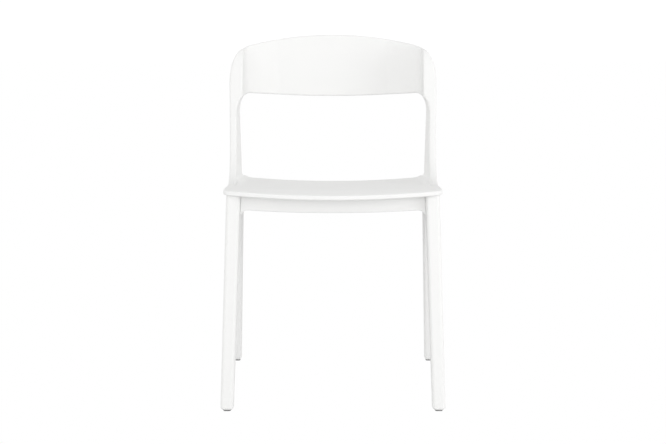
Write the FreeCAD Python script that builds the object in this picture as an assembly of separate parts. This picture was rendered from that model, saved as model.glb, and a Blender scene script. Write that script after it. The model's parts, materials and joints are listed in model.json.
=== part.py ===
import FreeCAD, Part

import math
import os

V = FreeCAD.Vector

# A white polypropylene stacking chair, knocked down into its mouldings and fasteners.
# Millimetres. Origin on the floor under the middle of the chair. +Z up, the seat's front faces -Y.
# "left" is the -X side and "right" is the +X side.

# Overall sizes
SEAT_FRONT_Y = -242.0      # foremost point of the seat's lip
FOOT_REAR_Y = 242.0        # rearmost point of the rear feet
BACK_TOP_Z = 770.0         # middle of the backrest's top edge
FOOT_Z = 2.5               # underside of the leg mouldings, on top of the glides

# Fits
GAP = 0.3                  # open joint between neighbouring mouldings
SEAT_GAP = 0.5             # between the seat's rim and the frame's top
SOCKET_GAP = 0.3           # round a tongue in its socket
HOLE_GAP = 0.15            # round a screw or bolt, in radius

# Seat pan
SEAT_CREST_Y = -175.0      # where the flat of the seat starts to roll over to the front
SEAT_REAR_Y = 196.0
SEAT_FRONT_HALF = 223.0    # half width in front of the posts: sets the whole chair's width
SEAT_CORNER_Y = -214.0     # where the front lip's bow reaches the side
SEAT_CORNER_R = 16.0
SEAT_CORNER_LEAD = 2.0     # how far the bow has still to run back where the corner starts
SEAT_REAR_R = 22.0
SEAT_SIDE_Z = 461.5        # top of the seat at its side, at the crest
SEAT_SIDE_FALL = 17.5      # how far that line falls to the rear edge
SEAT_DISH_FRONT = 2.0      # how much lower the middle is, at the crest
SEAT_DISH_REAR = 10.0      # and at the rear edge
SEAT_ROLL = 6.5            # fall of the lip in front of the crest
SEAT_RIM = 9.5             # depth of the seat's edge
SEAT_WALL = 4.5            # skin of the seat
SEAT_EDGE = 7.0            # width of the thick edge round the skin
SEAT_COVE = 9.0            # rise of the seat's side where it meets a post
SEAT_COVE_WIDTH = 20.0
SEAT_COVE_RUN = 45.0       # length over which it fades in behind a post's toe
SEAT_TOP_R = 3.5           # rounding of the seat's top edge
SEAT_LOW_R = 2.5           # and of its lower edge
RIB_DEPTH = 13.0
RIB_THICK = 2.5
RIB_X = (-90.0, 0.0, 90.0)
RIB_Y = (-150.0, -30.0, 40.0)
RIB_CLEAR = 9.0            # between the ribs' ends and the lugs and aprons

# Back hoop: band and posts
POST_BASE_OUT = SEAT_FRONT_HALF - 1.0      # half width over the posts, at the seat
POST_TOP_OUT = SEAT_FRONT_HALF + 6.5       # half width over the posts, at the shoulder
POST_BASE_IN = SEAT_FRONT_HALF - 16.0
POST_TOP_IN = SEAT_FRONT_HALF - 11.0
SHOULDER_Z = 660.0         # where the posts' outsides start to curve in to the top edge
SHOULDER_X = SEAT_FRONT_HALF - 34.0        # where that curve meets the arched top
SHOULDER_DROP = 23.0       # the arch's fall from its middle to that place
BAND_BOTTOM_Z = 630.0      # middle of the band's lower edge
BAND_BOTTOM_RISE = 8.5     # how much higher that edge is at the posts
WINDOW_CORNER_Z = 598.0    # where the posts' insides start to curve in to the band
BAND_LEAN = 0.14           # how far the hoop goes back for each millimetre of height
BAND_MID_Z = 700.0         # height at which the plan of the band is given
BAND_INNER_Y = 219.0       # face of the band at its middle
BAND_THICK = 11.0
WING_IN = SEAT_FRONT_HALF - 23.0           # inside of the wings
HOOP_R = 4.0               # rounding of the hoop's edges
WING_CORNER_Y = 158.0      # where the wings' insides turn to run forward
WING_TURN = 16.0           # how far ahead of that the turn's curve is steered
INNER_KNEE = (WING_IN - 82.0, -5.0)      # end of the face's middle arc: half width, y from the middle
INNER_CORNER = (WING_IN - 20.0, -32.0)  # and where it turns into the wing
OUTER_KNEE = (POST_TOP_OUT - 107.5, -5.0)  # the same two places on the band's rear
OUTER_CORNER = (POST_TOP_OUT - 33.5, -34.0)
KNEE_PULL = 22.0           # steers the curve beyond the knee, in line with the middle arc
CORNER_PULL = (18.0, 12.0)     # steers it before and after the corner
CORNER_FALL = 0.556        # slope of the band's faces at the corner
SHOULDER_PULL = (40.0, 7.5, 9.0)   # steers the shoulder's curve: up the post, in from it, below the arch
WINDOW_PULL = (16.0, 7.5, 0.6)     # steers the window's corner in the same way
BLADE_TOE_Y = -97.0        # front tip of a post's foot on the seat's side
BLADE_WAIST = (22.0, 540.0)    # y and z of the post's front edge, where its toe's sweep ends
BLADE_CHEST = (88.0, 30.0)     # its y beside the band, and how far above the shoulder's start
BLADE_BROW = (130.0, 22.0)     # its y at the band's top, and how far below the middle of the top edge
TONGUE_THICK = 10.0
RAIL_TONGUE = (-50.0, -5.0, 24.0)     # front, rear and depth of the tongue in the side rail
LEG_TONGUE = (112.0, 138.0, 40.0)     # the same in the rear leg
BOLT_DEPTH = 0.55          # how far down a tongue its bolt is, as a part of the tongue's depth

# Front legs: half widths and depths at foot and top
FRONT_FOOT_X = (SEAT_FRONT_HALF - 17.0, SEAT_FRONT_HALF + 10.0)
FRONT_TOP_X = (SEAT_FRONT_HALF - 36.0, SEAT_FRONT_HALF - 7.0)
FRONT_FOOT_Y = (-215.0, -188.0)
FRONT_TOP_Y = (-208.0, -168.0)
FRONT_TOP_Z = 470.0        # height at which those top sizes are taken
FRONT_LEG_R = 7.0
FOOT_BEVEL = 4.5

# Rear legs
REAR_FOOT_X = (SEAT_FRONT_HALF - 4.5, SEAT_FRONT_HALF + 16.5)
REAR_TOP_X = (SEAT_FRONT_HALF - 20.0, POST_BASE_OUT)
REAR_FOOT_DEPTH = 27.0
REAR_TOP_Y = (80.0, 145.0)
REAR_TOP_Z = 440.0         # height at which the rear legs' top widths are taken
REAR_SHIN_Z = 425.0        # where their front edges leave the upright
REAR_CALF = ((-34.0, 150.0), (36.0, 300.0))    # steers the rear edge: y from the foot and the top, and z
REAR_SHIN = ((-38.0, 160.0), (40.0, 300.0))    # steers the front edge in the same way
REAR_LEG_R = 5.0

# Rails and aprons
FRAME_TOP_CREST = SEAT_SIDE_Z - SEAT_RIM - SEAT_GAP    # top of the rails under the seat's crest
FRAME_SLOPE = SEAT_SIDE_FALL / (SEAT_REAR_Y - SEAT_CREST_Y)
FRAME_FRONT_FALL = 0.0576                         # fall per millimetre in front of the crest
RAIL_IN = SEAT_FRONT_HALF - 22.0
RAIL_FRONT_OUT = FRONT_TOP_X[1]
RAIL_DEPTH = 40.0
RAIL_FILLET = 26.0
APRON_THICK = 12.0
FRONT_APRON_Y = -192.0
FRONT_APRON_TOP = 450.0
FRONT_APRON_LOW = 411.3
APRON_BOW = 5.5
APRON_FILLET = 15.0
RAIL_R = 3.0               # rounding of the rails' and aprons' lower edges
REAR_APRON_Y = 100.0
REAR_APRON_TOP = 428.0
REAR_APRON_LOW = 394.0
LUG_Y = (-85.0, 8.0)
LUG_REACH = 22.0
LUG_HALF = 11.0            # half its length along the rail
LUG_THICK = 6.0
LUG_DROP = 14.0

# Corner brackets and fasteners
BRACKET_THICK = 2.5
BRACKET_Z = (416.0, 438.0)
BRACKET_FLANGE = 26.0
BRACKET_SPAN_X = 42.0
BRACKET_SPAN_Y = 46.0
SCREW_R = 2.2
SCREW_HEAD_R = 4.2
SCREW_HEAD = 2.4
BRACKET_SCREW = 9.0        # length of its shank
SEAT_SCREW = 16.0
BOLT_R = 3.0
BOLT_HEAD_R = 5.4
BOLT_HEAD = 3.2
INSERT_R = 4.2
LEG_BOLT_R = 2.5
LEG_BOLT_HEAD_R = 4.6
HEAD_CLEAR = 2.2           # between the front leg bolts' heads and the apron
RAIL_END_TONGUE = (9.0, 22.0, 13.0)   # thickness, height and reach of the rail's tongues in the legs
RAIL_END_Z = 414.0         # underside of those tongues
BOSS_R = 7.0

# Glides and stacking pads
PAD_THICK = 1.6
PAD_X = 15.0
PAD_Y = 15.0
PAD_R = 3.5
PAD_BEVEL = 0.6
PLUG_R = 4.8
PLUG_LENGTH = 22.0
STACK_PAD = (12.0, 34.0, 3.0)
STACK_PAD_Y = (-95.0, 5.0)
STACK_STEM_R = 3.0
STACK_STEM = 7.0
STACK_PAD_R = 5.0

SIDES = (("left", -1.0), ("right", 1.0))
SIGNS = (-1.0, 1.0)
CORNER_MID = 1 - math.sqrt(0.5)    # inset of a quarter circle's middle from its corner, for a radius of 1

# Construction planes, clear of the whole chair or of the seat's height
FAR = 600.0
BELOW_SEAT = 380.0
ABOVE_SEAT = 480.0
INSIDE_X = 150.0


def export(shape, name):
    shape.exportStep(os.path.join("parts", name + ".step"))


def box(x0, x1, y0, y1, z0, z1):
    return Part.makeBox(x1 - x0, y1 - y0, z1 - z0, V(x0, y0, z0))


def rod(start, direction, radius, length):
    return Part.makeCylinder(radius, length, start, direction)


def line(a, b):
    return Part.LineSegment(a, b).toShape()


def arc(a, mid, b):
    return Part.Arc(a, mid, b).toShape()


def bezier(*poles):
    curve = Part.BezierCurve()
    curve.setPoles(list(poles))
    return curve.toShape()


def slab(edges, direction):
    return Part.Face(Part.Wire(edges)).extrude(direction)


def polygon(points, direction):
    return Part.Face(Part.makePolygon(points + [points[0]])).extrude(direction)


def for_side(shape, side):
    if side > 0:
        return shape
    return shape.mirror(V(0, 0, 0), V(1, 0, 0))


def largest(shape):
    return max(shape.Solids, key=lambda solid: solid.Volume)


def middle(edge):
    return edge.valueAt((edge.FirstParameter + edge.LastParameter) / 2)


def is_sharp(edge, shape):
    """Whether the two faces beside an edge meet at more than 30 degrees."""
    faces = [face for face in shape.Faces if any(other.isSame(edge) for other in face.Edges)]
    if len(faces) != 2:
        return False
    point = middle(edge)
    first, second = (face.normalAt(*face.Surface.parameter(point)) for face in faces)
    return first.getAngle(second) > math.radians(30)


def soften(shape, radius, wanted):
    """Rounds the sharp edges that the test picks out."""
    edges = [edge for edge in shape.Edges if is_sharp(edge, shape) and wanted(edge)]
    return shape.makeFillet(radius, edges)


def rounded(x0, x1, y0, y1, z, r):
    """A rectangle with round corners, as a wire at height z."""
    k = r * CORNER_MID
    edges = [
        line(V(x0 + r, y0, z), V(x1 - r, y0, z)),
        arc(V(x1 - r, y0, z), V(x1 - k, y0 + k, z), V(x1, y0 + r, z)),
        line(V(x1, y0 + r, z), V(x1, y1 - r, z)),
        arc(V(x1, y1 - r, z), V(x1 - k, y1 - k, z), V(x1 - r, y1, z)),
        line(V(x1 - r, y1, z), V(x0 + r, y1, z)),
        arc(V(x0 + r, y1, z), V(x0 + k, y1 - k, z), V(x0, y1 - r, z)),
        line(V(x0, y1 - r, z), V(x0, y0 + r, z)),
        arc(V(x0, y0 + r, z), V(x0 + k, y0 + k, z), V(x0 + r, y0, z)),
    ]
    return Part.Wire(edges)


# The line that the frame's tops share, under the seat's rim
def frame_top(y):
    if y < SEAT_CREST_Y:
        return FRAME_TOP_CREST - FRAME_FRONT_FALL * (SEAT_CREST_Y - y)
    return FRAME_TOP_CREST - FRAME_SLOPE * (y - SEAT_CREST_Y)


def under_frame_top():
    points = [
        V(-FAR, -FAR, -FAR),
        V(-FAR, FAR, -FAR),
        V(-FAR, FAR, frame_top(FAR)),
        V(-FAR, SEAT_CREST_Y, frame_top(SEAT_CREST_Y)),
        V(-FAR, -FAR, frame_top(-FAR)),
    ]
    return polygon(points, V(2 * FAR, 0, 0))


# ---- Seat pan

def smooth(t):
    t = min(1.0, max(0.0, t))
    return t * t * (3 - 2 * t)


def seat_height(x, y):
    run = max(0.0, (y - SEAT_CREST_Y) / (SEAT_REAR_Y - SEAT_CREST_Y))
    side = SEAT_SIDE_Z - SEAT_SIDE_FALL * run
    dish = SEAT_DISH_FRONT + (SEAT_DISH_REAR - SEAT_DISH_FRONT) * min(1.0, run)
    across = min(1.0, (abs(x) / POST_BASE_IN) ** 2)
    roll = max(0.0, (SEAT_CREST_Y - y) / (SEAT_CREST_Y - SEAT_FRONT_Y))
    cove_start = POST_BASE_IN - SEAT_COVE_WIDTH
    cove = max(0.0, abs(x) - cove_start) / SEAT_COVE_WIDTH
    beside_post = smooth((y - BLADE_TOE_Y) / SEAT_COVE_RUN)
    return side - dish * (1 - across) - SEAT_ROLL * roll ** 2 + SEAT_COVE * min(1.6, cove) ** 2 * beside_post


def seat_stations():
    """Where the seat's height is given, across and along: denser by the posts and at the front roll."""
    half = [SEAT_FRONT_HALF + 10, SEAT_FRONT_HALF - 1]
    half += [POST_BASE_IN + SEAT_COVE_WIDTH * t for t in (0.4, 0, -0.25, -0.5, -0.75, -1, -1.8)]
    half += [POST_BASE_IN * t for t in (0.7, 0.53, 0.29)]
    xs = [-x for x in half] + [0] + half[::-1]
    roll = SEAT_CREST_Y - SEAT_FRONT_Y
    run = SEAT_REAR_Y - SEAT_CREST_Y
    ys = [SEAT_FRONT_Y - 13] + [SEAT_FRONT_Y + roll * t for t in (0, 0.2, 0.42, 0.63, 0.82)]
    ys += [SEAT_CREST_Y + run * t for t in (0, 0.04, 0.1, 0.15, 0.2, 0.24, 0.28, 0.34, 0.42)]
    ys += [SEAT_CREST_Y + run * t for t in (0.53, 0.63, 0.74, 0.82, 0.88, 0.93, 0.97, 1.01, 1.05)]
    return xs, ys


def seat_skin(drop):
    """The seat's top surface, lowered by drop, over more than the seat's outline."""
    xs, ys = seat_stations()
    grid = [[V(x, y, seat_height(x, y) - drop) for y in ys] for x in xs]
    surface = Part.BSplineSurface()
    surface.interpolate(grid)
    return surface.toShape()


def seat_outline(inset, z):
    """The seat's edge seen from above, moved inwards by inset."""
    front = SEAT_FRONT_Y + inset
    corner_y = SEAT_CORNER_Y + inset
    half = SEAT_FRONT_HALF - inset
    waist = POST_BASE_IN - GAP - inset
    step = BLADE_TOE_Y - GAP - inset
    rear = SEAT_REAR_Y - inset
    r = SEAT_CORNER_R
    q = SEAT_REAR_R
    k = CORNER_MID
    lead = SEAT_CORNER_LEAD

    def half_edges(s):
        return [
            line(V(s * half, corner_y + r, z), V(s * half, step, z)),
            line(V(s * half, step, z), V(s * waist, step, z)),
            line(V(s * waist, step, z), V(s * waist, rear - q, z)),
            arc(V(s * waist, rear - q, z), V(s * (waist - q * k), rear - q * k, z),
                V(s * (waist - q), rear, z)),
        ]

    left_end = V(-(half - r), corner_y - lead, z)
    right_end = V(half - r, corner_y - lead, z)
    edges = [arc(left_end, V(0, front, z), right_end)]
    for s in SIGNS:
        corner = V(s * (half - r), corner_y - lead, z)
        mid = V(s * (half - r * k - lead * 0.2), corner_y + r * k - lead * 0.4, z)
        edges.append(arc(corner, mid, V(s * half, corner_y + r, z)))
        edges.extend(half_edges(s))
    edges.append(line(V(-(waist - q), rear, z), V(waist - q, rear, z)))
    return Part.Face(Part.Wire(Part.__sortEdges__(edges)))


def boss_places():
    return [(s * (RAIL_IN - LUG_REACH / 2), y) for s in SIGNS for y in LUG_Y]


def lug_top(y):
    return frame_top(y) - LUG_DROP + LUG_THICK


def seat_pan():
    down = V(0, 0, -SEAT_RIM)
    up = V(0, 0, ABOVE_SEAT - BELOW_SEAT)
    block = largest(seat_skin(0).extrude(down).common(seat_outline(0, BELOW_SEAT).extrude(up)))

    def rise(edge):
        point = middle(edge)
        return point.z - seat_height(point.x, point.y)

    def beside_post(edge):
        along_side = abs(abs(middle(edge).x) - POST_BASE_IN) < 1 and edge.BoundBox.YLength > SEAT_REAR_R * 2
        return along_side or abs(middle(edge).y - BLADE_TOE_Y) < 1

    block = soften(block, SEAT_TOP_R, lambda edge: rise(edge) > -1 and not beside_post(edge))
    block = soften(block, SEAT_LOW_R, lambda edge: abs(rise(edge) + SEAT_RIM) < 1 and not beside_post(edge))
    hollow = seat_skin(SEAT_WALL).extrude(V(0, 0, -4 * SEAT_RIM))
    hollow = hollow.common(seat_outline(SEAT_EDGE, BELOW_SEAT).extrude(up))
    pan = block.cut(hollow)
    under_skin = seat_skin(SEAT_WALL / 2).extrude(V(0, 0, -RIB_DEPTH))
    inner = seat_outline(SEAT_EDGE - 1, BELOW_SEAT).extrude(up)
    x_end = RAIL_IN - LUG_REACH - RIB_CLEAR
    y_start = FRONT_APRON_Y + APRON_THICK + RIB_CLEAR
    y_end = REAR_APRON_Y - RIB_CLEAR
    half = RIB_THICK / 2
    ribs = [box(x - half, x + half, y_start, y_end, BELOW_SEAT, ABOVE_SEAT) for x in RIB_X]
    ribs += [box(-x_end, x_end, y - half, y + half, BELOW_SEAT, ABOVE_SEAT) for y in RIB_Y]
    grid = ribs[0].multiFuse(ribs[1:]).common(under_skin).common(inner)
    bosses = []
    holes = []
    for x, y in boss_places():
        foot = lug_top(y) + GAP
        top = seat_height(x, y) - SEAT_WALL / 2
        bosses.append(rod(V(x, y, foot), V(0, 0, 1), BOSS_R, top - foot))
        holes.append(rod(V(x, y, foot), V(0, 0, 1), SCREW_R + HOLE_GAP, SEAT_SCREW - LUG_THICK - GAP + 1))
    return largest(pan.multiFuse([grid] + bosses).cut(holes[0].multiFuse(holes[1:])).removeSplitter())


# ---- Back hoop

def hoop_outline():
    """The hoop seen from the front: posts, arched top, and the window below the band."""
    far = V(0, 2 * FAR, 0)
    y = -FAR
    base = BELOW_SEAT
    seat_z = frame_top(0)
    out_base = POST_BASE_OUT - (POST_TOP_OUT - POST_BASE_OUT) * (seat_z - base) / (SHOULDER_Z - seat_z)
    top_end = BACK_TOP_Z - SHOULDER_DROP
    low_end = BAND_BOTTOM_Z + BAND_BOTTOM_RISE
    edges = [line(V(-out_base, y, base), V(out_base, y, base))]
    for s in SIGNS:
        edges.append(line(V(s * out_base, y, base), V(s * POST_TOP_OUT, y, SHOULDER_Z)))
        edges.append(bezier(
            V(s * POST_TOP_OUT, y, SHOULDER_Z),
            V(s * POST_TOP_OUT, y, SHOULDER_Z + SHOULDER_PULL[0]),
            V(s * (POST_TOP_OUT - SHOULDER_PULL[1]), y, top_end - SHOULDER_PULL[2]),
            V(s * SHOULDER_X, y, top_end),
        ))
    edges.append(arc(V(-SHOULDER_X, y, top_end), V(0, y, BACK_TOP_Z), V(SHOULDER_X, y, top_end)))
    outside = slab(Part.__sortEdges__(edges), far)

    in_base = POST_BASE_IN - (POST_TOP_IN - POST_BASE_IN) * (seat_z - base) / (WINDOW_CORNER_Z - seat_z)
    inner = [line(V(-in_base, y, base), V(in_base, y, base))]
    for s in SIGNS:
        inner.append(line(V(s * in_base, y, base), V(s * POST_TOP_IN, y, WINDOW_CORNER_Z)))
        inner.append(bezier(
            V(s * POST_TOP_IN, y, WINDOW_CORNER_Z),
            V(s * POST_TOP_IN, y, low_end - WINDOW_PULL[0]),
            V(s * (POST_TOP_IN - WINDOW_PULL[1]), y, low_end + WINDOW_PULL[2]),
            V(s * SHOULDER_X, y, low_end),
        ))
    inner.append(arc(V(-SHOULDER_X, y, low_end), V(0, y, BAND_BOTTOM_Z), V(SHOULDER_X, y, low_end)))
    return outside.cut(slab(Part.__sortEdges__(inner), far))


def band_curve(middle_y, knee, corner, wing_x, wing_y, z):
    """One face of the hoop seen from above, from wing to wing."""
    edges = [arc(V(-knee[0], knee[1], z), V(0, middle_y, z), V(knee[0], knee[1], z))]
    sagitta = middle_y - knee[1]
    radius = (knee[0] ** 2 + sagitta ** 2) / (2 * sagitta)
    fall = knee[0] / math.sqrt(radius ** 2 - knee[0] ** 2)
    before, after = CORNER_PULL
    for s in SIGNS:
        edges.append(bezier(
            V(s * knee[0], knee[1], z),
            V(s * (knee[0] + KNEE_PULL), knee[1] - KNEE_PULL * fall, z),
            V(s * (corner[0] - before), corner[1] + before * CORNER_FALL, z),
            V(s * corner[0], corner[1], z),
        ))
        edges.append(bezier(
            V(s * corner[0], corner[1], z),
            V(s * (corner[0] + after), corner[1] - after * CORNER_FALL, z),
            V(s * wing_x, wing_y + WING_TURN, z),
            V(s * wing_x, wing_y, z),
        ))
        edges.append(line(V(s * wing_x, wing_y, z), V(s * wing_x, -FAR, z)))
    edges.append(line(V(-wing_x, -FAR, z), V(wing_x, -FAR, z)))
    return Part.Face(Part.Wire(Part.__sortEdges__(edges)))


def hoop_plan():
    low = BELOW_SEAT
    high = BACK_TOP_Z + BAND_THICK
    rise = V(0, BAND_LEAN * (high - low), high - low)
    shift = V(0, BAND_LEAN * (low - BAND_MID_Z), 0)

    def face(middle_y, knee, corner, wing_x, wing_y):
        knee_place = (knee[0], middle_y + knee[1])
        corner_place = (corner[0], middle_y + corner[1])
        return band_curve(middle_y, knee_place, corner_place, wing_x, wing_y, low)

    inner = face(BAND_INNER_Y, INNER_KNEE, INNER_CORNER, WING_IN, WING_CORNER_Y)
    outer = face(BAND_INNER_Y + BAND_THICK, OUTER_KNEE, OUTER_CORNER, POST_TOP_OUT + 0.5, WING_CORNER_Y - 10)
    return outer.extrude(rise).cut(inner.extrude(rise)).translated(shift)


def hoop_side():
    """The hoop seen from the side: the blade's front edge from its toe up to the band's top."""
    x = -FAR
    rear = FAR / 2
    toe_z = frame_top(BLADE_TOE_Y)
    lip_z = toe_z + SEAT_RIM
    waist = V(x, *BLADE_WAIST)
    chest = V(x, BLADE_CHEST[0], SHOULDER_Z + BLADE_CHEST[1])
    brow = V(x, BLADE_BROW[0], BACK_TOP_Z - BLADE_BROW[1])
    high = BACK_TOP_Z + 3 * BAND_THICK
    edges = [
        line(V(x, BLADE_TOE_Y, toe_z), V(x, BLADE_TOE_Y, lip_z)),
        bezier(V(x, BLADE_TOE_Y, lip_z), V(x, BLADE_TOE_Y + 52, lip_z + 2.5),
               V(x, waist.y - 28, waist.z - 50), waist),
        bezier(waist, V(x, waist.y + 24, waist.z + 43), V(x, chest.y - 9, chest.z - 50), chest),
        bezier(chest, V(x, chest.y + 5.4, chest.z + 30), V(x, brow.y - 24, brow.z - 6), brow),
        line(brow, V(x, rear, high)),
        line(V(x, rear, high), V(x, rear, frame_top(rear))),
        line(V(x, rear, frame_top(rear)), V(x, BLADE_TOE_Y, toe_z)),
    ]
    return slab(edges, V(2 * FAR, 0, 0))


def tongue(y0, y1, depth, grow):
    mid = (POST_BASE_IN + POST_BASE_OUT) / 2
    half = TONGUE_THICK / 2 + grow
    top = max(frame_top(y0), frame_top(y1)) + 3
    bottom = frame_top((y0 + y1) / 2) - depth - grow
    return box(mid - half, mid + half, y0 - grow, y1 + grow, bottom, top)


def bolt_places():
    """Post bolts: y and z of each axis, on either side."""
    places = []
    for y0, y1, depth in (RAIL_TONGUE, LEG_TONGUE):
        mid = (y0 + y1) / 2
        places.append((mid, frame_top(mid) - depth * BOLT_DEPTH))
    return places


def post_bolt_hole(y, z):
    """Clearance hole through a rail or leg and into the tongue's socket."""
    socket_out = (POST_BASE_IN + POST_BASE_OUT + TONGUE_THICK) / 2
    return rod(V(INSIDE_X, y, z), V(1, 0, 0), BOLT_R + HOLE_GAP, socket_out - INSIDE_X)


def back_hoop():
    hoop = hoop_plan().common(hoop_outline()).common(hoop_side())
    tongues = []
    holes = []
    for side in SIGNS:
        for y0, y1, depth in (RAIL_TONGUE, LEG_TONGUE):
            tongues.append(for_side(tongue(y0, y1, depth, 0), side))
        for y, z in bolt_places():
            holes.append(for_side(rod(V(INSIDE_X, y, z), V(1, 0, 0), INSERT_R + HOLE_GAP, INSIDE_X), side))
    hoop = largest(hoop).removeSplitter()
    above = frame_top(BLADE_TOE_Y) - 2
    hoop = soften(hoop, min(HOOP_R, BAND_THICK * 0.4), lambda edge: edge.BoundBox.ZMin > above)
    whole = largest(hoop).multiFuse(tongues)
    return largest(whole.cut(holes[0].multiFuse(holes[1:])).removeSplitter())


# ---- Legs

def front_leg_shape(corner_r):
    fx0, fx1 = FRONT_FOOT_X
    fy0, fy1 = FRONT_FOOT_Y
    tx0, tx1 = FRONT_TOP_X
    ty0, ty1 = FRONT_TOP_Y
    b = FOOT_BEVEL
    sole = rounded(fx0 + b, fx1 - b, fy0 + b, fy1 - b, FOOT_Z, corner_r * 0.6)
    foot = rounded(fx0, fx1, fy0, fy1, FOOT_Z + b, corner_r)
    top = rounded(tx0, tx1, ty0, ty1, FRONT_TOP_Z, corner_r)
    return Part.makeLoft([sole, foot, top], True, True).common(under_frame_top())


def rear_leg_blank():
    """A sharp-edged blade: its outline from the side, trimmed to its splay seen from the front."""
    y0 = FOOT_REAR_Y - REAR_FOOT_DEPTH
    top_front, top_rear = REAR_TOP_Y
    x = INSIDE_X
    top = FRONT_TOP_Z
    lean = (FOOT_REAR_Y - top_rear) / (frame_top(top_rear) - FOOT_Z)
    rear_at_top = top_rear - (top - frame_top(top_rear)) * lean
    b = FOOT_BEVEL
    calf_low, calf_high = REAR_CALF
    shin_low, shin_high = REAR_SHIN
    edges = [
        line(V(x, y0 + b, FOOT_Z), V(x, FOOT_REAR_Y - b, FOOT_Z)),
        line(V(x, FOOT_REAR_Y - b, FOOT_Z), V(x, FOOT_REAR_Y, FOOT_Z + b)),
        bezier(V(x, FOOT_REAR_Y, FOOT_Z + b), V(x, FOOT_REAR_Y + calf_low[0], calf_low[1]),
               V(x, top_rear + calf_high[0], calf_high[1]), V(x, rear_at_top, top)),
        line(V(x, rear_at_top, top), V(x, top_front, top)),
        line(V(x, top_front, top), V(x, top_front, REAR_SHIN_Z)),
        bezier(V(x, top_front, REAR_SHIN_Z), V(x, top_front + shin_high[0], shin_high[1]),
               V(x, y0 + shin_low[0], shin_low[1]), V(x, y0, FOOT_Z + b)),
        line(V(x, y0, FOOT_Z + b), V(x, y0 + b, FOOT_Z)),
    ]
    side = slab(edges, V(INSIDE_X, 0, 0))
    ix, ox = REAR_FOOT_X
    tix, tox = REAR_TOP_X
    face = [
        V(ix + b, -FAR, FOOT_Z),
        V(ox - b, -FAR, FOOT_Z),
        V(ox, -FAR, FOOT_Z + b),
        V(tox, -FAR, REAR_TOP_Z),
        V(tox, -FAR, top),
        V(tix, -FAR, top),
        V(tix, -FAR, REAR_TOP_Z),
        V(ix, -FAR, FOOT_Z + b),
    ]
    return largest(side.common(polygon(face, V(0, 2 * FAR, 0))))


def rear_leg_shape():
    half_height = frame_top(REAR_TOP_Y[0]) / 2
    leg = largest(rear_leg_blank().common(under_frame_top()))
    return soften(leg, REAR_LEG_R, lambda edge: edge.BoundBox.ZLength > half_height)


def inside_face(front, z):
    """Half width between a pair of legs at height z."""
    if front:
        foot, top, top_z = FRONT_FOOT_X[0], FRONT_TOP_X[0], FRONT_TOP_Z
    else:
        foot, top, top_z = REAR_FOOT_X[0], REAR_TOP_X[0], REAR_TOP_Z
    foot_z = FOOT_Z + FOOT_BEVEL
    return foot + (top - foot) * (z - foot_z) / (top_z - foot_z)


def between_legs(front):
    low, high = BELOW_SEAT - 100, ABOVE_SEAT
    at_low = inside_face(front, low) - GAP
    at_high = inside_face(front, high) - GAP
    points = [V(-at_low, -FAR, low), V(at_low, -FAR, low), V(at_high, -FAR, high), V(-at_high, -FAR, high)]
    return polygon(points, V(0, 2 * FAR, 0))


def foot_centre(front):
    if front:
        return sum(FRONT_FOOT_X) / 2, sum(FRONT_FOOT_Y) / 2
    return sum(REAR_FOOT_X) / 2, FOOT_REAR_Y - REAR_FOOT_DEPTH / 2


def plug_hole(front):
    x, y = foot_centre(front)
    return rod(V(x, y, FOOT_Z - 1), V(0, 0, 1), PLUG_R + HOLE_GAP, PLUG_LENGTH + 2)


def bracket_frame(front):
    """Where a corner bracket stands: its apron face, its rail face, and which way it runs."""
    if front:
        return FRONT_APRON_Y + APRON_THICK, 1.0
    return REAR_APRON_Y, -1.0


def end_tongue_middle():
    """Half width to the middle of the rail's end tongues: midway through what both legs share."""
    return (REAR_TOP_X[0] + FRONT_TOP_X[1]) / 2


def end_tongue(face_y, way, grow):
    """A tongue on a rail's end, running from the leg's face into the leg."""
    thick, height, reach = RAIL_END_TONGUE
    mid = end_tongue_middle()
    ends = sorted((face_y - way * 2, face_y + way * (reach + grow)))
    return box(mid - thick / 2 - grow, mid + thick / 2 + grow, ends[0], ends[1],
               RAIL_END_Z - grow, RAIL_END_Z + height + grow)


def leg_bolt_place(front):
    """Start of the bolt on the leg's inside, level with the middle of the rail's tongue, and its length."""
    thick, height, reach = RAIL_END_TONGUE
    z = RAIL_END_Z + height / 2
    y = REAR_TOP_Y[0] + reach * 0.6
    if front:
        y = FRONT_APRON_Y + APRON_THICK + LEG_BOLT_HEAD_R + HEAD_CLEAR
    start = V(inside_face(front, z) - 0.2, y, z)
    return start, end_tongue_middle() + thick / 2 - start.x


def leg_bolt_hole(front, radius):
    start, length = leg_bolt_place(front)
    return rod(start - V(10, 0, 0), V(1, 0, 0), radius, length + 11)


def front_leg():
    leg = front_leg_shape(FRONT_LEG_R).cut(plug_hole(True))
    leg = leg.cut(end_tongue(FRONT_TOP_Y[1], -1, SOCKET_GAP))
    return largest(leg.cut(leg_bolt_hole(True, LEG_BOLT_R + HOLE_GAP)))


def rear_leg():
    leg = rear_leg_shape().cut(plug_hole(False))
    leg = leg.cut(end_tongue(REAR_TOP_Y[0], 1, SOCKET_GAP))
    leg = leg.cut(leg_bolt_hole(False, LEG_BOLT_R + HOLE_GAP))
    leg = leg.cut(tongue(*LEG_TONGUE, SOCKET_GAP))
    y, z = bolt_places()[1]
    return largest(leg.cut(post_bolt_hole(y, z)))


# ---- Rails and aprons

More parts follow.
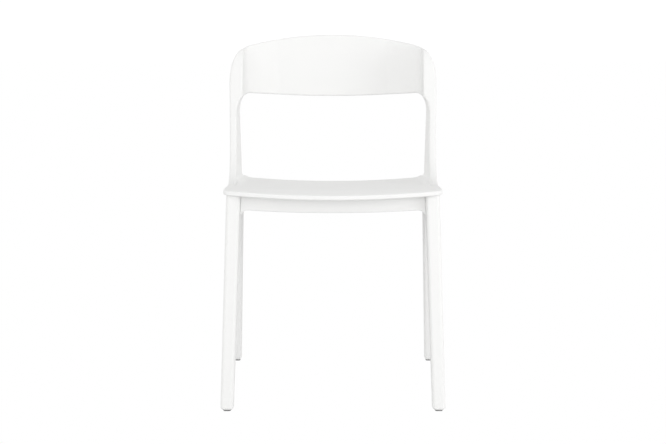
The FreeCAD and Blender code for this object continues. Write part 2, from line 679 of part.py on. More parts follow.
def side_rail():
    front_y = FRONT_TOP_Y[1] - 12
    rear_y = REAR_TOP_Y[0] + 30
    top = FRONT_TOP_Z
    x = INSIDE_X
    r = RAIL_FILLET
    k = r * CORNER_MID
    low = frame_top(0) - RAIL_DEPTH
    f = FRONT_TOP_Y[1]
    g = REAR_TOP_Y[0]
    edges = [
        line(V(x, front_y, top), V(x, front_y, low - r)),
        line(V(x, front_y, low - r), V(x, f, low - r)),
        arc(V(x, f, low - r), V(x, f + k, low - k), V(x, f + r, low)),
        line(V(x, f + r, low), V(x, g - r, low)),
        arc(V(x, g - r, low), V(x, g - k, low - k), V(x, g, low - r)),
        line(V(x, g, low - r), V(x, rear_y, low - r)),
        line(V(x, rear_y, low - r), V(x, rear_y, top)),
        line(V(x, rear_y, top), V(x, front_y, top)),
    ]
    side = slab(edges, V(INSIDE_X, 0, 0))
    z = BELOW_SEAT - 80
    plan = [
        line(V(RAIL_IN, -FAR, z), V(RAIL_IN, FAR, z)),
        line(V(RAIL_IN, FAR, z), V(POST_BASE_OUT, FAR, z)),
        line(V(POST_BASE_OUT, FAR, z), V(POST_BASE_OUT, BLADE_TOE_Y + 10, z)),
        bezier(V(POST_BASE_OUT, BLADE_TOE_Y + 10, z), V(POST_BASE_OUT, BLADE_TOE_Y - 20, z),
               V(RAIL_FRONT_OUT, f + 20, z), V(RAIL_FRONT_OUT, front_y, z)),
        line(V(RAIL_FRONT_OUT, front_y, z), V(RAIL_FRONT_OUT, -FAR, z)),
        line(V(RAIL_FRONT_OUT, -FAR, z), V(RAIL_IN, -FAR, z)),
    ]
    rail = largest(side.common(slab(plan, V(0, 0, FAR))))

    def is_lower_side(edge):
        return middle(edge).z < low + 1 and edge.BoundBox.YLength > r / 2

    rail = soften(rail, RAIL_R, is_lower_side).common(under_frame_top())
    rail = largest(rail.cut(front_leg_shape(0.5).translated(V(0, GAP, 0))))
    for shift in (0, RAIL_IN - REAR_TOP_X[0] - 3):
        rail = largest(rail.cut(rear_leg_blank().translated(V(shift, -GAP, 0))))
    lugs = []
    holes = []
    for y in LUG_Y:
        top = lug_top(y)
        lug = box(RAIL_IN - LUG_REACH, RAIL_IN + 1, y - LUG_HALF, y + LUG_HALF, top - LUG_THICK, top)
        lugs.append(lug)
        x_hole = RAIL_IN - LUG_REACH / 2
        holes.append(rod(V(x_hole, y, top - 2 * LUG_THICK), V(0, 0, 1), SCREW_R + HOLE_GAP, 3 * LUG_THICK))
    ends = [end_tongue(FRONT_TOP_Y[1], -1, 0), end_tongue(REAR_TOP_Y[0], 1, 0)]
    rail = rail.multiFuse(lugs + ends)
    holes.append(leg_bolt_hole(True, LEG_BOLT_R + HOLE_GAP))
    holes.append(leg_bolt_hole(False, LEG_BOLT_R + HOLE_GAP))
    holes.append(tongue(*RAIL_TONGUE, SOCKET_GAP))
    y, z = bolt_places()[0]
    holes.append(post_bolt_hole(y, z))
    for pad_y in STACK_PAD_Y:
        holes.append(stack_stem(pad_y, HOLE_GAP))
    for start, into, on_rail in bracket_screw_axes():
        if on_rail:
            holes.append(rod(start, into, SCREW_R + HOLE_GAP, BRACKET_SCREW + BRACKET_THICK + 1))
    return largest(rail.cut(holes[0].multiFuse(holes[1:])).removeSplitter())


def stack_stem(y, grow):
    low = frame_top(0) - RAIL_DEPTH
    mid = (RAIL_IN + POST_BASE_OUT) / 2
    return rod(V(mid, y, low), V(0, 0, 1), STACK_STEM_R + grow, STACK_STEM + grow)


def apron(front, y0, top, low):
    """A board between two legs: arched lower edge, with a fillet down each leg."""
    k = CORNER_MID
    bow = APRON_BOW
    fillet = APRON_FILLET
    reach = inside_face(front, low + bow) - GAP
    end = reach - fillet
    edges = [arc(V(-end, y0, low + bow), V(0, y0, low), V(end, y0, low + bow))]
    for s in SIGNS:
        edges.append(arc(
            V(s * end, y0, low + bow),
            V(s * (reach - fillet * k), y0, low + bow - fillet * k),
            V(s * reach, y0, low + bow - fillet),
        ))
        edges.append(line(V(s * reach, y0, low + bow - fillet), V(s * (reach + 20), y0, low + bow - fillet)))
        edges.append(line(V(s * (reach + 20), y0, low + bow - fillet), V(s * (reach + 20), y0, top)))
    edges.append(line(V(-(reach + 20), y0, top), V(reach + 20, y0, top)))
    board = slab(Part.__sortEdges__(edges), V(0, APRON_THICK, 0)).Solids[0]

    def is_lower_side(edge):
        return middle(edge).z < low + bow + 1 and edge.BoundBox.XLength > fillet / 2

    board = soften(board, RAIL_R, is_lower_side)
    board = largest(board.common(between_legs(front)))
    holes = []
    for start, into, on_rail in bracket_screw_axes():
        if not on_rail:
            hole = rod(start, into, SCREW_R + HOLE_GAP, BRACKET_SCREW + BRACKET_THICK + 1)
            holes.extend(for_side(hole, side) for side in SIGNS)
    return largest(board.cut(holes[0].multiFuse(holes[1:])))


def front_apron():
    return apron(True, FRONT_APRON_Y, FRONT_APRON_TOP, FRONT_APRON_LOW)


def rear_apron():
    return apron(False, REAR_APRON_Y, REAR_APRON_TOP, REAR_APRON_LOW)


# ---- Corner brackets and fasteners

def bracket_corners(front):
    face_y, way = bracket_frame(front)
    t = BRACKET_THICK
    a = V(RAIL_IN - BRACKET_SPAN_X, face_y, 0)
    b = V(RAIL_IN, face_y + way * BRACKET_SPAN_Y, 0)
    return a, b, way, t


def bracket_screw_axes():
    """Axes of the screws of a right-hand bracket: start, direction, and whether it enters the rail."""
    z = sum(BRACKET_Z) / 2
    axes = []
    for front in (True, False):
        a, b, way, t = bracket_corners(front)
        axes.append((V(a.x - BRACKET_FLANGE / 2, a.y + way * t, z), V(0, -way, 0), False))
        axes.append((V(b.x - t, b.y + way * BRACKET_FLANGE / 2, z), V(1, 0, 0), True))
    return axes


def corner_bracket(front):
    """A bent steel strip: a flange on the apron, a web across the corner, a flange on the rail."""
    a, b, way, t = bracket_corners(front)
    z0, z1 = BRACKET_Z
    a_out = a + V(0, way * t, 0)
    b_out = b + V(-t, 0, 0)
    a_far = V(a.x - BRACKET_FLANGE, a.y, 0)
    b_far = V(b.x, b.y + way * BRACKET_FLANGE, 0)
    ring = [
        a_far,
        a,
        b,
        b_far,
        b_far + V(-t, 0, 0),
        b_out + V(0, way * t * 0.4, 0),
        a_out + V(-t * 0.4, 0, 0),
        a_far + V(0, way * t, 0),
    ]
    lift = V(0, 0, z0)
    strip = polygon([p + lift for p in ring], V(0, 0, z1 - z0))
    for start, into, on_rail in bracket_screw_axes():
        strip = strip.cut(rod(start - into * 5, into, SCREW_R + HOLE_GAP, 12))
    return strip


def screw(start, into, radius, length, head_r, head):
    """A pan head outside the start point, and a shank with a blunt tip that runs into the work."""
    shank = rod(start, into, radius, length - radius)
    tip = Part.makeCone(radius, radius * 0.4, radius, start + into * (length - radius), into)
    cap = rod(start - into * head, into, head_r, head)
    slot_depth = head * 0.5
    drive = rod(start - into * (head + 0.1), into, radius * 0.6, slot_depth + 0.1)
    return cap.multiFuse([shank, tip]).cut(drive).removeSplitter()


def both_sides(shapes):
    return Part.makeCompound([for_side(shape, side) for shape in shapes for side in SIGNS])


def sleeve(start, radius, bore, length):
    """A threaded sleeve lying along X, drawn with a plain bore."""
    body = rod(start, V(1, 0, 0), radius, length)
    return body.cut(rod(start - V(1, 0, 0), V(1, 0, 0), bore, length + 2))


def bracket_screws():
    length = BRACKET_SCREW + BRACKET_THICK
    return both_sides([screw(start, into, SCREW_R, length, SCREW_HEAD_R, SCREW_HEAD)
                       for start, into, on_rail in bracket_screw_axes()])


def leg_bolts():
    bolts = []
    for front in (True, False):
        start, length = leg_bolt_place(front)
        bolts.append(screw(start, V(1, 0, 0), LEG_BOLT_R, length, LEG_BOLT_HEAD_R, BOLT_HEAD))
    return both_sides(bolts)


def seat_screws():
    return Part.makeCompound([screw(V(x, y, lug_top(y) - LUG_THICK), V(0, 0, 1), SCREW_R, SEAT_SCREW,
                                    SCREW_HEAD_R, SCREW_HEAD) for x, y in boss_places()])


def post_bolts():
    tongue_out = (POST_BASE_IN + POST_BASE_OUT + TONGUE_THICK) / 2
    (rail_y, rail_z), (leg_y, leg_z) = bolt_places()
    starts = (V(RAIL_IN, rail_y, rail_z), V(inside_face(False, leg_z) - GAP, leg_y, leg_z))
    return both_sides([screw(start, V(1, 0, 0), BOLT_R, tongue_out - start.x, BOLT_HEAD_R, BOLT_HEAD)
                       for start in starts])


def post_inserts():
    tongue_in = (POST_BASE_IN + POST_BASE_OUT - TONGUE_THICK) / 2
    return both_sides([sleeve(V(tongue_in, y, z), INSERT_R, BOLT_R + HOLE_GAP, TONGUE_THICK)
                       for y, z in bolt_places()])


# ---- Glides and stacking pads

def pad_outline(front, inset, z):
    x, y = foot_centre(front)
    half_x = PAD_X / 2 - inset
    half_y = PAD_Y / 2 - inset
    return rounded(x - half_x, x + half_x, y - half_y, y + half_y, z, PAD_R - inset)


def glide_plug(front):
    x, y = foot_centre(front)
    plate = Part.Face(pad_outline(front, 0, PAD_THICK)).extrude(V(0, 0, FOOT_Z - PAD_THICK))
    stem = rod(V(x, y, FOOT_Z - 0.5), V(0, 0, 1), PLUG_R, PLUG_LENGTH)
    return plate.fuse(stem).removeSplitter()


def glide_pad(front):
    low = pad_outline(front, PAD_BEVEL, 0)
    mid = pad_outline(front, 0, PAD_BEVEL)
    high = pad_outline(front, 0, PAD_THICK)
    return Part.makeLoft([low, mid, high], True, True)


def stacking_pads():
    width, length, thick = STACK_PAD
    low = frame_top(0) - RAIL_DEPTH
    mid = (RAIL_IN + POST_BASE_OUT) / 2
    pads = []
    x0, x1 = mid - width / 2, mid + width / 2
    for y in STACK_PAD_Y:
        face = rounded(x0, x1, y - length / 2, y + length / 2, low - thick, STACK_PAD_R)
        pad = Part.Face(face).extrude(V(0, 0, thick))
        pads.append(pad.fuse(stack_stem(y, 0).translated(V(0, 0, -0.5))).removeSplitter())
    return both_sides(pads)


def build():
    os.makedirs("parts", exist_ok=True)
    export(seat_pan(), "seat_pan")
    export(back_hoop(), "back_hoop")
    export(front_apron(), "front_apron")
    export(rear_apron(), "rear_apron")
    pairs = {
        "front_leg": front_leg(),
        "rear_leg": rear_leg(),
        "side_rail": side_rail(),
        "corner_bracket_front": corner_bracket(True),
        "corner_bracket_rear": corner_bracket(False),
        "glide_plug_front": glide_plug(True),
        "glide_plug_rear": glide_plug(False),
        "glide_pad_front": glide_pad(True),
        "glide_pad_rear": glide_pad(False),
    }
    for name, shape in pairs.items():
        for side_name, side in SIDES:
            export(for_side(shape, side), name + "_" + side_name)
    export(bracket_screws(), "bracket_screws")
    export(leg_bolts(), "leg_bolts")
    export(seat_screws(), "seat_screws")
    export(post_bolts(), "post_bolts")
    export(post_inserts(), "post_inserts")
    export(stacking_pads(), "stacking_pads")


build()
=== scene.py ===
import json
import math

import bmesh
import bpy
from mathutils import Matrix, Vector


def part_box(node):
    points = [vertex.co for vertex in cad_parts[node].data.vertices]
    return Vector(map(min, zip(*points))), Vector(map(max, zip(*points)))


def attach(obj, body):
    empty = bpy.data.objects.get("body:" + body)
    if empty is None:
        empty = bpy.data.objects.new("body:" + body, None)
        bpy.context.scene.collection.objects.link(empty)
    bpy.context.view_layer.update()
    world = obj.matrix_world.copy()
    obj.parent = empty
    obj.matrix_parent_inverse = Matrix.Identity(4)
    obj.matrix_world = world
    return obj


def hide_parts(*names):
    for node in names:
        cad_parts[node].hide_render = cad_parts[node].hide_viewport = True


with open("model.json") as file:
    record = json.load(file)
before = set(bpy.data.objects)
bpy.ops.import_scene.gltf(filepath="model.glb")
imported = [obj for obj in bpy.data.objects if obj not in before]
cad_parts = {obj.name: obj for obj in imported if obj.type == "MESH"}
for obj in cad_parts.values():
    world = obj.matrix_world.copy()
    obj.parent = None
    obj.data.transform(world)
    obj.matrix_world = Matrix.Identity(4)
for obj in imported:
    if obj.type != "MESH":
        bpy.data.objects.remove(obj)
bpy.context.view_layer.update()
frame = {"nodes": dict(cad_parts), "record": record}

bl_info = {
    "name": "Stacking chair looks",
    "version": (1, 0, 0),
    "blender": (4, 5, 0),
    "location": "3D View > Sidebar > Chair",
    "description": "Finishes and finer pieces for a white moulded stacking chair",
    "category": "Object",
}

NODES = frame["nodes"]
SLOTS = {part["node"]: part["material_slot"] for part in frame["record"]["subparts"]}


# ---- Values (metres), and shares of the size that they belong to

MERGE = 1e-6               # points nearer than this are one
SAME = 1e-5                # heights nearer than this are the same
NEAR = 1e-4                # and nearer than this belong to one end of a piece
ABOVE_SEAT = 0.6           # heights from which rays look for the seat
UNDER_SEAT = 0.3
POST_TIP = 0.012           # from the posts' front edge to where they stand full beside the seat

COVE_ROWS = 48
COVE_STEPS = 10
COVE_TIP = 0.2             # share of the cove's full size at its front end
COVE_GROWTH = 5            # how fast it grows from there
COVE_WIDEST = 4            # widest groove that it bridges, in cove sizes
COVE_REAR = 0.004          # from the cove's rear end to the seat's
COVE_ROOT = (0.0004, -0.002)    # outwards and down from the groove's corner
SLOPE_STEP = 0.001         # distance over which the seat's slope is taken

# places across and along, for each side
MARK_PLACES = (
    (0.045, -0.09), (0.045, 0.005), (0.135, -0.075), (0.135, 0.005), (0.045, 0.062))
MARK_HEIGHT = 0.0010
MARK_SUNK = 0.0004
MARK_BORDER = 0.25         # share of a mark's radius outside its ring
MARK_RING = 0.0002

HEAD_HEIGHT = 0.58         # shares of a screw's head radius
SHANK_RADIUS = 0.53
TIP_TAPER = 0.45
SOCKET_DEPTH = 0.55
HEX_RADIUS = 0.5
CROSS_ARM = 0.58
CROSS_HALF = 0.11
CROSS_TAPER = 0.7

SOLE_CORNER = 0.23         # shares of a glide's width
SOLE_BORDER = 0.14
STEM_RADIUS = 0.32
FLANGE_HEIGHT = 0.0009
FLANGE_EDGE = 0.4          # share of the pads' edge rounding
BARBS = 4
BARB_NECK = 0.84           # share of the stem's radius between its barbs
BARB_STEP = 0.1            # heights of a barb's lip and slope, in ninths of the stem
BARB_SLOPE = 1.6
STEM_PARTS = 9

PAD_CORNER = 0.41          # shares of a stacking pad's width
PAD_BORDER = 0.16

KNURL_TURN = 15            # degrees
KNURL_DEPTH = 0.965
KNURL_BORDER = 0.02


# ---- Settings

class ChairFinish(bpy.types.PropertyGroup):
    plastic_colour: bpy.props.FloatVectorProperty(
        name="Plastic colour", description="Base colour of the white mouldings",
        subtype="COLOR", size=3, min=0, max=1, default=(0.935, 0.936, 0.948))
    plastic_roughness: bpy.props.FloatProperty(
        name="Plastic roughness", description="Average roughness of the moulded surface",
        min=0, max=1, default=0.46)
    grain_size: bpy.props.FloatProperty(
        name="Grain size", description="Width of one grain of the spark-eroded texture",
        unit="LENGTH", default=0.0009)
    grain_depth: bpy.props.FloatProperty(
        name="Grain depth", description="Depth of that texture",
        unit="LENGTH", default=0.00004)


class ChairDetail(bpy.types.PropertyGroup):
    joint_close: bpy.props.FloatProperty(
        name="Joint closing",
        description="Widest joint at the posts that the seat's sides are drawn out to close",
        unit="LENGTH", default=0.003)
    cove_size: bpy.props.FloatProperty(
        name="Cove size", description="Reach of the cove between the seat's sides and the posts",
        unit="LENGTH", default=0.006)
    bend_radius: bpy.props.FloatProperty(
        name="Bend radius", description="Rounding of the corner brackets' bends",
        unit="LENGTH", default=0.0011)
    pad_edge: bpy.props.FloatProperty(
        name="Pad edge", description="Rounding of the glides' and stacking pads' edges",
        unit="LENGTH", default=0.0006)
    mark_radius: bpy.props.FloatProperty(
        name="Ejector mark", description="Radius of the marks the ejector pins left under the seat",
        unit="LENGTH", default=0.004)
    smooth_angle: bpy.props.FloatProperty(
        name="Smooth angle", description="Steeper edges than this are shown sharp",
        subtype="ANGLE", default=math.radians(28))


class ChairStudio(bpy.types.PropertyGroup):
    camera_back: bpy.props.FloatProperty(
        name="Camera distance",
        description="Distance from the middle of the chair to the camera, along the floor",
        unit="LENGTH", default=2.918)
    camera_height: bpy.props.FloatProperty(
        name="Camera height", description="Height of the camera above the floor",
        unit="LENGTH", default=0.785)
    camera_pitch: bpy.props.FloatProperty(
        name="Camera pitch", description="How far the camera looks down", subtype="ANGLE", default=0.1427)
    camera_lens: bpy.props.FloatProperty(
        name="Lens", description="Focal length in millimetres on a 36 mm sensor", default=72.9)
    sky_strength: bpy.props.FloatProperty(
        name="Sky strength", description="Brightness of the even white surroundings", default=1.115)
    overhead: bpy.props.FloatProperty(
        name="Overhead", description="Brightness straight above, as a part of the sky's",
        min=0, max=2, default=0.50)
    ahead: bpy.props.FloatProperty(
        name="Ahead", description="Brightness in front of the chair, as a part of the sky's",
        min=0, max=3, default=1.27)
    behind: bpy.props.FloatProperty(
        name="Behind", description="Brightness behind the chair, as a part of the sky's",
        min=0, max=3, default=1.06)
    sky_seen: bpy.props.FloatProperty(
        name="Sky seen", description="Brightness of the surroundings as the camera sees them", default=1.05)
    light_aim: bpy.props.FloatVectorProperty(
        name="Light aim", description="Point that both soft lights face",
        subtype="TRANSLATION", unit="LENGTH", size=3, default=(0, 0, 0.45))
    key_place: bpy.props.FloatVectorProperty(
        name="Key place", description="Place of the soft light on the right",
        subtype="TRANSLATION", unit="LENGTH", size=3, default=(2.7, -2.0, 0.75))
    key_size: bpy.props.FloatProperty(
        name="Key size", description="Diameter of that light", unit="LENGTH", default=1.8)
    key_power: bpy.props.FloatProperty(
        name="Key power", description="Power of the soft light on the right", unit="POWER", default=17.0)
    fill_place: bpy.props.FloatVectorProperty(
        name="Fill place", description="Place of the soft light in front",
        subtype="TRANSLATION", unit="LENGTH", size=3, default=(-0.5, -3.4, 0.95))
    fill_size: bpy.props.FloatProperty(
        name="Fill size", description="Diameter of that light", unit="LENGTH", default=1.6)
    fill_power: bpy.props.FloatProperty(
        name="Fill power", description="Power of the soft light in front", unit="POWER", default=12.0)
    floor_shade: bpy.props.FloatProperty(
        name="Floor shade", description="How much of the light the floor sends back up",
        min=0, max=1, default=0.78)


# ---- Materials

def group_of(name, inputs, outputs):
    """A new shader node group with these sockets, and its input and output nodes."""
    tree = bpy.data.node_groups.new(name, "ShaderNodeTree")
    for label, kind, value in inputs:
        socket = tree.interface.new_socket(name=label, in_out="INPUT", socket_type=kind)
        if value is not None:
            socket.default_value = value
    for label, kind in outputs:
        tree.interface.new_socket(name=label, in_out="OUTPUT", socket_type=kind)
    return tree, tree.nodes.new("NodeGroupInput"), tree.nodes.new("NodeGroupOutput")


def moulded_grain_group():
    """Fine spark-eroded grain with a slower swell under it, as a height in metres."""
    tree, given, result = group_of(
        "moulded_grain",
        [("Vector", "NodeSocketVector", None), ("Grain size", "NodeSocketFloat", 0.0009),
         ("Grain depth", "NodeSocketFloat", 0.00004), ("Swell depth", "NodeSocketFloat", 0.00012)],
        [("Height", "NodeSocketFloat")])
    links = tree.links
    inverse = tree.nodes.new("ShaderNodeMath")
    inverse.operation = "DIVIDE"
    inverse.inputs[0].default_value = 1.0
    links.new(given.outputs["Grain size"], inverse.inputs[1])
    fine = tree.nodes.new("ShaderNodeTexNoise")
    fine.inputs["Detail"].default_value = 2.0
    links.new(given.outputs["Vector"], fine.inputs["Vector"])
    links.new(inverse.outputs[0], fine.inputs["Scale"])
    swell = tree.nodes.new("ShaderNodeTexNoise")
    swell.inputs["Scale"].default_value = 14.0
    swell.inputs["Detail"].default_value = 1.0
    links.new(given.outputs["Vector"], swell.inputs["Vector"])
    fine_height = tree.nodes.new("ShaderNodeMath")
    fine_height.operation = "MULTIPLY"
    links.new(fine.outputs["Fac"], fine_height.inputs[0])
    links.new(given.outputs["Grain depth"], fine_height.inputs[1])
    total = tree.nodes.new("ShaderNodeMath")
    total.operation = "MULTIPLY_ADD"
    links.new(swell.outputs["Fac"], total.inputs[0])
    links.new(given.outputs["Swell depth"], total.inputs[1])
    links.new(fine_height.outputs[0], total.inputs[2])
    links.new(total.outputs[0], result.inputs["Height"])
    return tree


def flow_marks_group():
    """Slow clouding of colour and sheen, as plastic shows where it cooled unevenly."""
    tree, given, result = group_of(
        "flow_marks",
        [("Vector", "NodeSocketVector", None), ("Colour", "NodeSocketColor", (0.87, 0.87, 0.87, 1)),
         ("Roughness", "NodeSocketFloat", 0.45), ("Clouding", "NodeSocketFloat", 0.03),
         ("Sheen change", "NodeSocketFloat", 0.12)],
        [("Colour", "NodeSocketColor"), ("Roughness", "NodeSocketFloat")])
    links = tree.links
    cloud = tree.nodes.new("ShaderNodeTexNoise")
    cloud.inputs["Scale"].default_value = 5.5
    cloud.inputs["Detail"].default_value = 3.0
    cloud.inputs["Distortion"].default_value = 0.4
    links.new(given.outputs["Vector"], cloud.inputs["Vector"])
    signed = tree.nodes.new("ShaderNodeMath")
    signed.operation = "SUBTRACT"
    signed.inputs[1].default_value = 0.5
    links.new(cloud.outputs["Fac"], signed.inputs[0])
    tint = tree.nodes.new("ShaderNodeMath")
    tint.operation = "MULTIPLY_ADD"
    tint.inputs[2].default_value = 1.0
    links.new(signed.outputs[0], tint.inputs[0])
    links.new(given.outputs["Clouding"], tint.inputs[1])
    colour = tree.nodes.new("ShaderNodeVectorMath")
    colour.operation = "SCALE"
    links.new(given.outputs["Colour"], colour.inputs[0])
    links.new(tint.outputs[0], colour.inputs["Scale"])
    links.new(colour.outputs[0], result.inputs["Colour"])
    rough = tree.nodes.new("ShaderNodeMath")
    rough.operation = "MULTIPLY_ADD"
    links.new(signed.outputs[0], rough.inputs[0])
    links.new(given.outputs["Sheen change"], rough.inputs[1])
    links.new(given.outputs["Roughness"], rough.inputs[2])
    links.new(rough.outputs[0], result.inputs["Roughness"])
    return tree


def finish_material(name, colour, roughness, grain, groups, clouding, metallic=0.0, specular=0.5):
    """A moulded or plated surface: grain as bump, flow marks as colour and roughness."""
    grain_size, grain_depth, swell_depth = grain
    material = bpy.data.materials.new(name)
    material.use_nodes = True
    tree = material.node_tree
    shader = tree.nodes["Principled BSDF"]
    shader.inputs["Metallic"].default_value = metallic
    shader.inputs["Specular IOR Level"].default_value = specular
    place = tree.nodes.new("ShaderNodeTexCoord")
    marks = tree.nodes.new("ShaderNodeGroup")
    marks.node_tree = groups["flow_marks"]
    marks.inputs["Colour"].default_value = (*colour, 1)
    marks.inputs["Roughness"].default_value = roughness
    marks.inputs["Clouding"].default_value = clouding
    tree.links.new(place.outputs["Object"], marks.inputs["Vector"])
    tree.links.new(marks.outputs["Colour"], shader.inputs["Base Color"])
    tree.links.new(marks.outputs["Roughness"], shader.inputs["Roughness"])
    texture = tree.nodes.new("ShaderNodeGroup")
    texture.node_tree = groups["moulded_grain"]
    texture.inputs["Grain size"].default_value = grain_size
    texture.inputs["Grain depth"].default_value = grain_depth
    texture.inputs["Swell depth"].default_value = swell_depth
    tree.links.new(place.outputs["Object"], texture.inputs["Vector"])
    bump = tree.nodes.new("ShaderNodeBump")
    bump.inputs["Strength"].default_value = 0.6
    bump.inputs["Distance"].default_value = 1.0
    tree.links.new(texture.outputs["Height"], bump.inputs["Height"])
    tree.links.new(bump.outputs["Normal"], shader.inputs["Normal"])


OTHER_FINISHES = {
    "zinc_steel": {"colour": (0.62, 0.63, 0.64), "roughness": 0.34, "clouding": 0.10, "metallic": 1.0},
    "brass_insert": {"colour": (0.72, 0.58, 0.30), "roughness": 0.30, "clouding": 0.10, "metallic": 1.0},
    "dark_plastic": {"colour": (0.10, 0.10, 0.105), "roughness": 0.5, "clouding": 0.15},
    "glide_rubber": {"colour": (0.06, 0.06, 0.062), "roughness": 0.75, "clouding": 0.2, "specular": 0.3},
    "soft_grey": {"colour": (0.55, 0.56, 0.57), "roughness": 0.6, "clouding": 0.1},
}
WHITE_CLOUDING = 0.02
WHITE_SWELL = 0.00010


def make_materials():
    """One material for each slot of the record."""
    look = bpy.context.scene.chair_finish
    groups = {"moulded_grain": moulded_grain_group(), "flow_marks": flow_marks_group()}
    finish_material(
        "white_plastic", look.plastic_colour, look.plastic_roughness,
        (look.grain_size, look.grain_depth, WHITE_SWELL), groups, WHITE_CLOUDING)
    for name, finish in OTHER_FINISHES.items():
        finish_material(name, grain=(look.grain_size, look.grain_depth, 0.0), groups=groups, **finish)


def wear(piece, name):
    """Gives a piece one material all over."""
    piece.data.materials.clear()
    piece.data.materials.append(bpy.data.materials[name])


# ---- Modelling helpers

def only(*pieces):
    """Selects these pieces and nothing else."""
    bpy.ops.object.select_all(action="DESELECT")
    for piece in pieces:
        piece.select_set(True)
    if pieces:
        bpy.context.view_layer.objects.active = pieces[0]


def edit(piece, kind, wanted):
    """Opens a piece in edit mode with its wanted faces, edges or vertices selected."""
    only(piece)
    bpy.ops.object.mode_set(mode="EDIT")
    bpy.ops.mesh.select_all(action="DESELECT")
    bpy.context.tool_settings.mesh_select_mode = (kind == "VERT", kind == "EDGE", kind == "FACE")
    mesh = bmesh.from_edit_mesh(piece.data)
    items = {"VERT": mesh.verts, "EDGE": mesh.edges, "FACE": mesh.faces}[kind]
    found = [item for item in items if wanted(item)]
    if not found:
        raise RuntimeError("nothing to edit on " + piece.name)
    for item in found:
        item.select = True
    mesh.select_mode = {kind}
    mesh.select_flush_mode()
    bmesh.update_edit_mesh(piece.data)


def close_edit():
    bpy.ops.object.mode_set(mode="OBJECT")


def faces_towards(direction, level=None):
    """Picks the faces that look that way, and lie at that height along it if one is given."""
    way = Vector(direction)

    def wanted(face):
        if face.normal.dot(way) < 0.97:
            return False
        return level is None or abs(face.calc_center_median().dot(way) - level) < SAME

    return wanted


def runs_along(direction, shortest=0.0):
    """Picks the straight edges that run that way."""
    way = Vector(direction)

    def wanted(edge):
        run = edge.verts[1].co - edge.verts[0].co
        return run.length > shortest and abs(run.normalized().dot(way)) > 0.99

    return wanted


def round_edges(piece, wanted, offset, segments):
    """Bevels the wanted edges to a round."""
    edit(piece, "EDGE", wanted)
    bpy.ops.mesh.bevel(offset=offset, segments=segments, profile=0.5, affect="EDGES")
    close_edit()


def recess(piece, wanted, border, depth):
    """Insets the wanted faces and pushes the inner ones in."""
    edit(piece, "FACE", wanted)
    bpy.ops.mesh.inset(thickness=border)
    mesh = bmesh.from_edit_mesh(piece.data)
    inward = sum((face.normal for face in mesh.faces if face.select), Vector()).normalized() * -depth
    bpy.ops.mesh.extrude_region_move(TRANSFORM_OT_translate={"value": inward})
    close_edit()


def block(name, lo, hi):
    """A cube primitive stretched between two corners."""
    bpy.ops.object.select_all(action="DESELECT")
    lo, hi = Vector(lo), Vector(hi)
    bpy.ops.mesh.primitive_cube_add(size=1, location=(lo + hi) / 2)
    piece = bpy.context.active_object
    piece.name = name
    piece.scale = hi - lo
    settle(piece)
    return piece


def disc(name, sides, radius, depth, place=(0, 0, 0)):
    """A short cylinder primitive, standing on its place."""
    bpy.ops.object.select_all(action="DESELECT")
    bpy.ops.mesh.primitive_cylinder_add(
        vertices=sides, radius=radius, depth=depth, location=Vector(place) + Vector((0, 0, depth / 2)))
    piece = bpy.context.active_object
    piece.name = name
    settle(piece)
    return piece


def settle(piece):
    """Applies a piece's place, turn and size to its mesh."""
    only(piece)
    bpy.ops.object.transform_apply(location=True, rotation=True, scale=True)


def duplicate(piece, name):
    """A copy of a piece with its own mesh."""
    only(piece)
    bpy.ops.object.duplicate()
    twin = bpy.context.active_object
    twin.name = name
    return twin


def moulding_copy(node, name):
    """A working copy of a CAD moulding, with its loose triangles merged."""
    piece = duplicate(NODES[node], name)
    for key in list(piece.keys()):
        del piece[key]
    edit(piece, "VERT", lambda vert: True)
    bpy.ops.mesh.remove_doubles(threshold=MERGE)
    close_edit()
    return piece


def loft(name, rings):
    """A closed piece through outlines that have as many points each."""
    if len(rings) < 2:
        raise RuntimeError("too few outlines for " + name)
    ring = len(rings[0])
    last = (len(rings) - 1) * ring
    faces = [tuple(range(ring)), tuple(range(last, last + ring))]
    for row in range(len(rings) - 1):
        for step in range(ring):
            a = row * ring + step
            b = row * ring + (step + 1) % ring
            faces.append((a, b, b + ring, a + ring))
    mesh = bpy.data.meshes.new(name)
    mesh.from_pydata([point for outline in rings for point in outline], [], faces)
    piece = bpy.data.objects.new(name, mesh)
    bpy.context.collection.objects.link(piece)
    edit(piece, "FACE", lambda face: True)
    bpy.ops.mesh.normals_make_consistent(inside=False)
    close_edit()
    return piece


def join(name, pieces):
    """Makes one piece of several."""
    only(*pieces)
    bpy.ops.object.join()
    piece = bpy.context.active_object
    piece.name = name
    return piece


def cut(piece, tool):
    """Takes the tool's shape out of a piece."""
    only(piece)
    step = piece.modifiers.new("cut", "BOOLEAN")
    step.operation = "DIFFERENCE"
    step.solver = "EXACT"
    step.object = tool
    bpy.ops.object.modifier_apply(modifier=step.name)
    only(tool)
    bpy.ops.object.delete()


def finish_piece(piece, slot_name, *nodes):
    """Shades a piece, gives it its material and puts it in the place of its CAD nodes."""
    settle(piece)
    bpy.ops.object.shade_smooth_by_angle(angle=bpy.context.scene.chair_detail.smooth_angle)
    even = piece.modifiers.new("even_shading", "WEIGHTED_NORMAL")
    even.mode = "FACE_AREA_WITH_ANGLE"
    even.keep_sharp = True
    bpy.ops.object.modifier_apply(modifier=even.name)
    wear(piece, slot_name)
    piece.data.name = piece.name
    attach(piece, "root")
    if nodes:
        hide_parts(*nodes)


